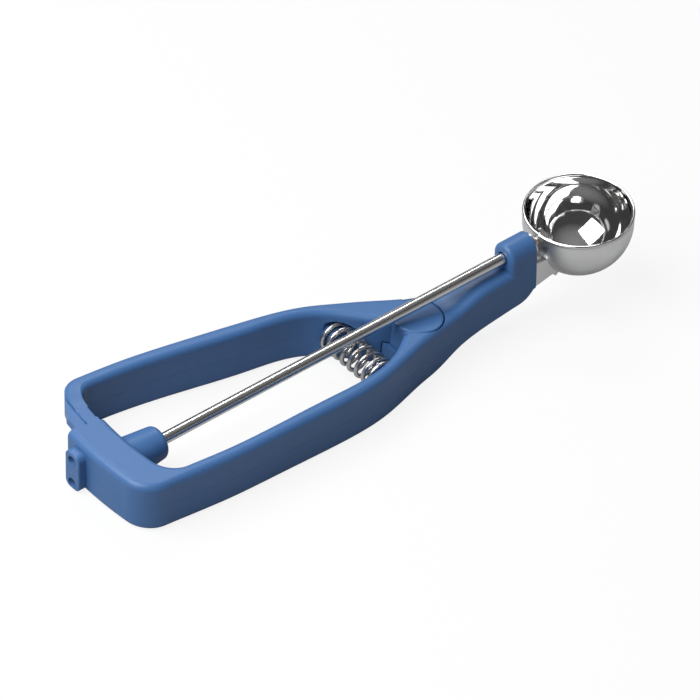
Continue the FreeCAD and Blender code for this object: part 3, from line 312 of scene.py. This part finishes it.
def spring_tree():
    """Spring: a straight line whose points are wound up, then swept with the wire."""
    group = bpy.data.node_groups.new("wound_spring", "GeometryNodeTree")
    face = group.interface
    for name, default in (("Turns", 8.0), ("Coil radius", 5.0), ("Wire radius", 0.8),
                          ("Start y", -10.6), ("Rise", 26.5), ("End pitch", 2.2),
                          ("Axis x", SPRING_X), ("Axis z", SPRING_Z)):
        face.new_socket(name, in_out="INPUT", socket_type="NodeSocketFloat").default_value = default
    face.new_socket("Geometry", in_out="OUTPUT", socket_type="NodeSocketGeometry")
    t = Tree(group)
    into = t.add("NodeGroupInput")

    def size(name):
        return into.out(name)

    def wound(turn, start):
        """Extra rise once a pitch change of one turn, begun at this turn, is counted in."""
        part = (turn - start).most(0.0).least(1.0)
        return part ** 3.0 - part ** 4.0 * 0.5 + (turn - start - 1.0).most(0.0)

    line = t.add("GeometryNodeCurvePrimitiveLine", None)
    count = t.add("GeometryNodeResampleCurve", None, line.out(0), Count=420)
    turn = t.add("GeometryNodeSplineParameter").out(0) * size("Turns")
    extra = (size("Rise") - size("Turns") * size("End pitch")) / (size("Turns") - 2.0)
    rise = turn * size("End pitch") + extra * (wound(turn, 0.5) - wound(turn, size("Turns") - 1.5))
    angle = turn * (2 * math.pi)
    x = size("Axis x") + size("Coil radius") * angle.math("COSINE")
    z = size("Axis z") + size("Coil radius") * angle.math("SINE")
    place = t.add("ShaderNodeCombineXYZ", None, x * MM, (size("Start y") + rise) * MM, z * MM)
    wire = t.add("GeometryNodeSetPosition", None, count.out(0), Position=place.out(0))
    ring = t.add("GeometryNodeCurvePrimitiveCircle", None, Resolution=20, Radius=size("Wire radius") * MM)
    tube = t.add("GeometryNodeCurveToMesh", {}, wire.out(0), ring.out(0))
    t.feed(tube.node.inputs["Fill Caps"], True)
    smooth = t.add("GeometryNodeSetShadeSmooth", None, tube.out(0))
    whole = t.add("GeometryNodeRealizeInstances", None, smooth.out(0))
    done = t.add("GeometryNodeSetMaterial", None, whole.out(0), Material=WIRE)
    t.add("NodeGroupOutput", None, done.out(0))
    return group


def return_coil():
    base = new_object("return_coil", bpy.data.meshes.new("return_coil"))
    modifier = base.modifiers.new("wound", "NODES")
    modifier.node_group = spring_tree()
    for socket in modifier.node_group.interface.items_tree:
        if socket.in_out == "INPUT":
            modifier[socket.identifier] = socket.default_value
    bpy.context.view_layer.update()
    made = base.evaluated_get(bpy.context.evaluated_depsgraph_get())
    mesh = bpy.data.meshes.new_from_object(made)
    base.modifiers.clear()
    base.data = mesh
    bm = bmesh.new()
    bm.from_mesh(mesh)
    bmesh.ops.remove_doubles(bm, verts=bm.verts, dist=1e-6)
    bmesh.ops.recalc_face_normals(bm, faces=bm.faces)
    bm.to_mesh(mesh)
    bm.free()
    return base


coil = return_coil()
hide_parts("return_spring")
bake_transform(coil)


def cup_profile():
    """Half section of the bowl from its bottom, outside and in, round the beaded rim, in mm."""
    below_bead = BOWL_RIM - 1.2
    middle = BOWL_OUTER - BEAD_R + 0.15
    points = []
    for k in range(ARC_STEPS + 1):
        a = math.radians(-90 + 90 * k / ARC_STEPS)
        points.append((BOWL_OUTER * math.cos(a), -BOWL_DROP + BOWL_OUTER * math.sin(a)))
    points.append((BOWL_OUTER, below_bead))
    for k in range(BEAD_STEPS + 1):
        a = math.radians(-60 + 300 * k / BEAD_STEPS)
        points.append((middle + BEAD_R * math.cos(a), BOWL_RIM + BEAD_R * math.sin(a)))
    points.append((BOWL_INNER, below_bead))
    for k in range(ARC_STEPS + 1):
        a = math.radians(-90 * k / ARC_STEPS)
        points.append((BOWL_INNER * math.cos(a), -BOWL_DROP + BOWL_INNER * math.sin(a)))
    return points


def spun_bowl():
    """Bowl turned from its half section: satin outside, and a mirror from the bead inwards."""
    bm = bmesh.new()
    rings = []
    for r, n in cup_profile():
        if r < 1e-6:
            rings.append([bm.verts.new(bowl_place(0, 0, n))])
            continue
        ring = []
        for k in range(ROUND_STEPS):
            a = 2 * math.pi * k / ROUND_STEPS
            ring.append(bm.verts.new(bowl_place(r * math.cos(a), r * math.sin(a), n)))
        rings.append(ring)
    first_buffed = ARC_STEPS + 2 + BUFFED_FROM
    for row, (low, high) in enumerate(zip(rings, rings[1:])):
        for k in range(ROUND_STEPS):
            j = (k + 1) % ROUND_STEPS
            if len(low) == 1:
                face = bm.faces.new((low[0], high[j], high[k]))
            elif len(high) == 1:
                face = bm.faces.new((low[k], low[j], high[0]))
            else:
                face = bm.faces.new((low[k], low[j], high[j], high[k]))
            face.material_index = 1 if row >= first_buffed else 0
    bmesh.ops.recalc_face_normals(bm, faces=bm.faces)
    return from_bmesh("spun_bowl", bm, [SATIN, MIRROR])


bowl = spun_bowl()
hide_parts("scoop_bowl")
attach(bowl, "body")


# Setting

# What the steel mirrors. Each soft box: its direction, its half width and height, its level
SOFT_BOXES = (
    ((0.36, 0.50, 0.79), 0.18, 0.10, 0.65),
    ((0.10, -0.92, 0.36), 0.26, 0.11, 0.85),
    ((0.75, -0.35, 0.55), 0.16, 0.22, 0.55),
)
LOW_BAND = (0.16, 0.30, 0.42)   # edge, softness and level of the bright band above the horizon
ZENITH = (0.86, 0.30, 0.20)     # and of the grey patch straight overhead
DARK = 0.06
FLOOR_GREY = (0.42, 0.42, 0.42, 1)
FLOOR_WHITE = 1.09              # level of the floor's own white, seen by the camera alone
FLOOR_SHARE = 0.80              # the rest of the floor takes the shadows
ROOM_GREY = (0.17, 0.175, 0.185, 1)
WHITE = (1, 1, 1, 1)

# Camera fitted to the photograph: its directions, its place and its lens
CAMERA_AHEAD = (0.550784, 0.567727, -0.611820)
CAMERA_RIGHT = (0.770910, -0.626993, 0.112151)
CAMERA_PLACE = (-1.474851, -1.491132, 1.623036)
CAMERA_LENS = 411.883
CAMERA_SENSOR = 36.0


def floor():
    """Pale floor just under the handle: white to the camera, with a matt share for the shadow."""
    bm = bmesh.new()
    bmesh.ops.create_grid(bm, x_segments=1, y_segments=1, size=6.0)
    thing = from_bmesh("floor", bm, [], False)
    material = bpy.data.materials.new("white_floor")
    material.use_nodes = True
    t = Tree(material.node_tree)
    t.tree.nodes.clear()
    matt = t.add("ShaderNodeBsdfDiffuse", None, Color=FLOOR_GREY)
    glow = t.add("ShaderNodeEmission", None, Color=WHITE, Strength=FLOOR_WHITE)
    seen = t.add("ShaderNodeLightPath")
    share = seen.out("Is Camera Ray") * FLOOR_SHARE
    both = t.add("ShaderNodeMixShader", None, share, matt, glow)
    t.add("ShaderNodeOutputMaterial", None, both)
    thing.data.materials.append(material)
    thing.location.z = -0.0002


def studio():
    """World: white to the camera, an even grey for light, a dim room with soft boxes for gloss."""
    world = bpy.data.worlds.new("studio")
    bpy.context.scene.world = world
    world.use_nodes = True
    t = Tree(world.node_tree)
    t.tree.nodes.clear()
    ray = t.add("ShaderNodeLightPath")
    way = t.add("ShaderNodeTexCoord").out("Generated")
    parts = t.add("ShaderNodeSeparateXYZ", None, way)
    x, y, z = parts.out(0), parts.out(1), parts.out(2)

    def along_way(v):
        return x * v.x + y * v.y + z * v.z

    def box(towards, width, height, level):
        """White rectangle of this half width and height, seen in this direction."""
        ahead = Vector(towards).normalized()
        right = ahead.cross(Vector((0, 0, 1))).normalized()
        up = right.cross(ahead)
        wide = 1.0 - abs(along_way(right)).above(width, 0.05)
        tall = 1.0 - abs(along_way(up)).above(height, 0.05)
        return wide * tall * along_way(ahead).above(0.05, 0.05) * level

    edge, soft, level = LOW_BAND
    top_edge, top_soft, top_level = ZENITH
    glow = DARK + (1.0 - z.above(edge, soft)) * level + z.above(top_edge, top_soft) * top_level
    for one in SOFT_BOXES:
        glow = glow.most(box(*one))
    mirrored = t.add("ShaderNodeCombineXYZ", None, glow, glow, glow * 1.02)
    light = t.mix(ray.out("Is Glossy Ray"), ROOM_GREY, mirrored)
    seen = t.mix(ray.out("Is Camera Ray"), light, WHITE)
    sky = t.add("ShaderNodeBackground", None, seen, 1.0)
    t.add("ShaderNodeOutputWorld", None, sky)


def lamp(name, place, aim, size, power):
    """Plain soft lamp: a rectangle at this place that faces its aim."""
    data = bpy.data.lights.new(name, "AREA")
    data.shape = "RECTANGLE"
    data.size, data.size_y = size
    data.energy = power
    thing = bpy.data.objects.new(name, data)
    bpy.context.scene.collection.objects.link(thing)
    thing.location = place
    thing.rotation_euler = (Vector(aim) - Vector(place)).to_track_quat("-Z", "Y").to_euler()


def camera():
    data = bpy.data.cameras.new("camera")
    thing = bpy.data.objects.new("camera", data)
    bpy.context.scene.collection.objects.link(thing)
    ahead = Vector(CAMERA_AHEAD)
    right = Vector(CAMERA_RIGHT)
    up = right.cross(ahead).normalized()
    right = ahead.cross(up).normalized()
    turn = Matrix((right, up, -ahead)).transposed()
    thing.rotation_euler = turn.to_euler()
    thing.location = Vector(CAMERA_PLACE)
    data.sensor_width = CAMERA_SENSOR
    data.lens = CAMERA_LENS
    data.clip_start = 0.1
    data.clip_end = 20.0
    bpy.context.scene.camera = thing


floor()
studio()
lamp("top_light", (-0.63, 0.11, 0.80), (0.03, 0, 0.02), (0.80, 0.80), 16.5)
lamp("side_light", (0.25, 0.55, 0.8), (-0.03, 0, 0), (0.4, 0.25), 3.0)
camera()
bpy.context.scene.view_settings.view_transform = "Standard"
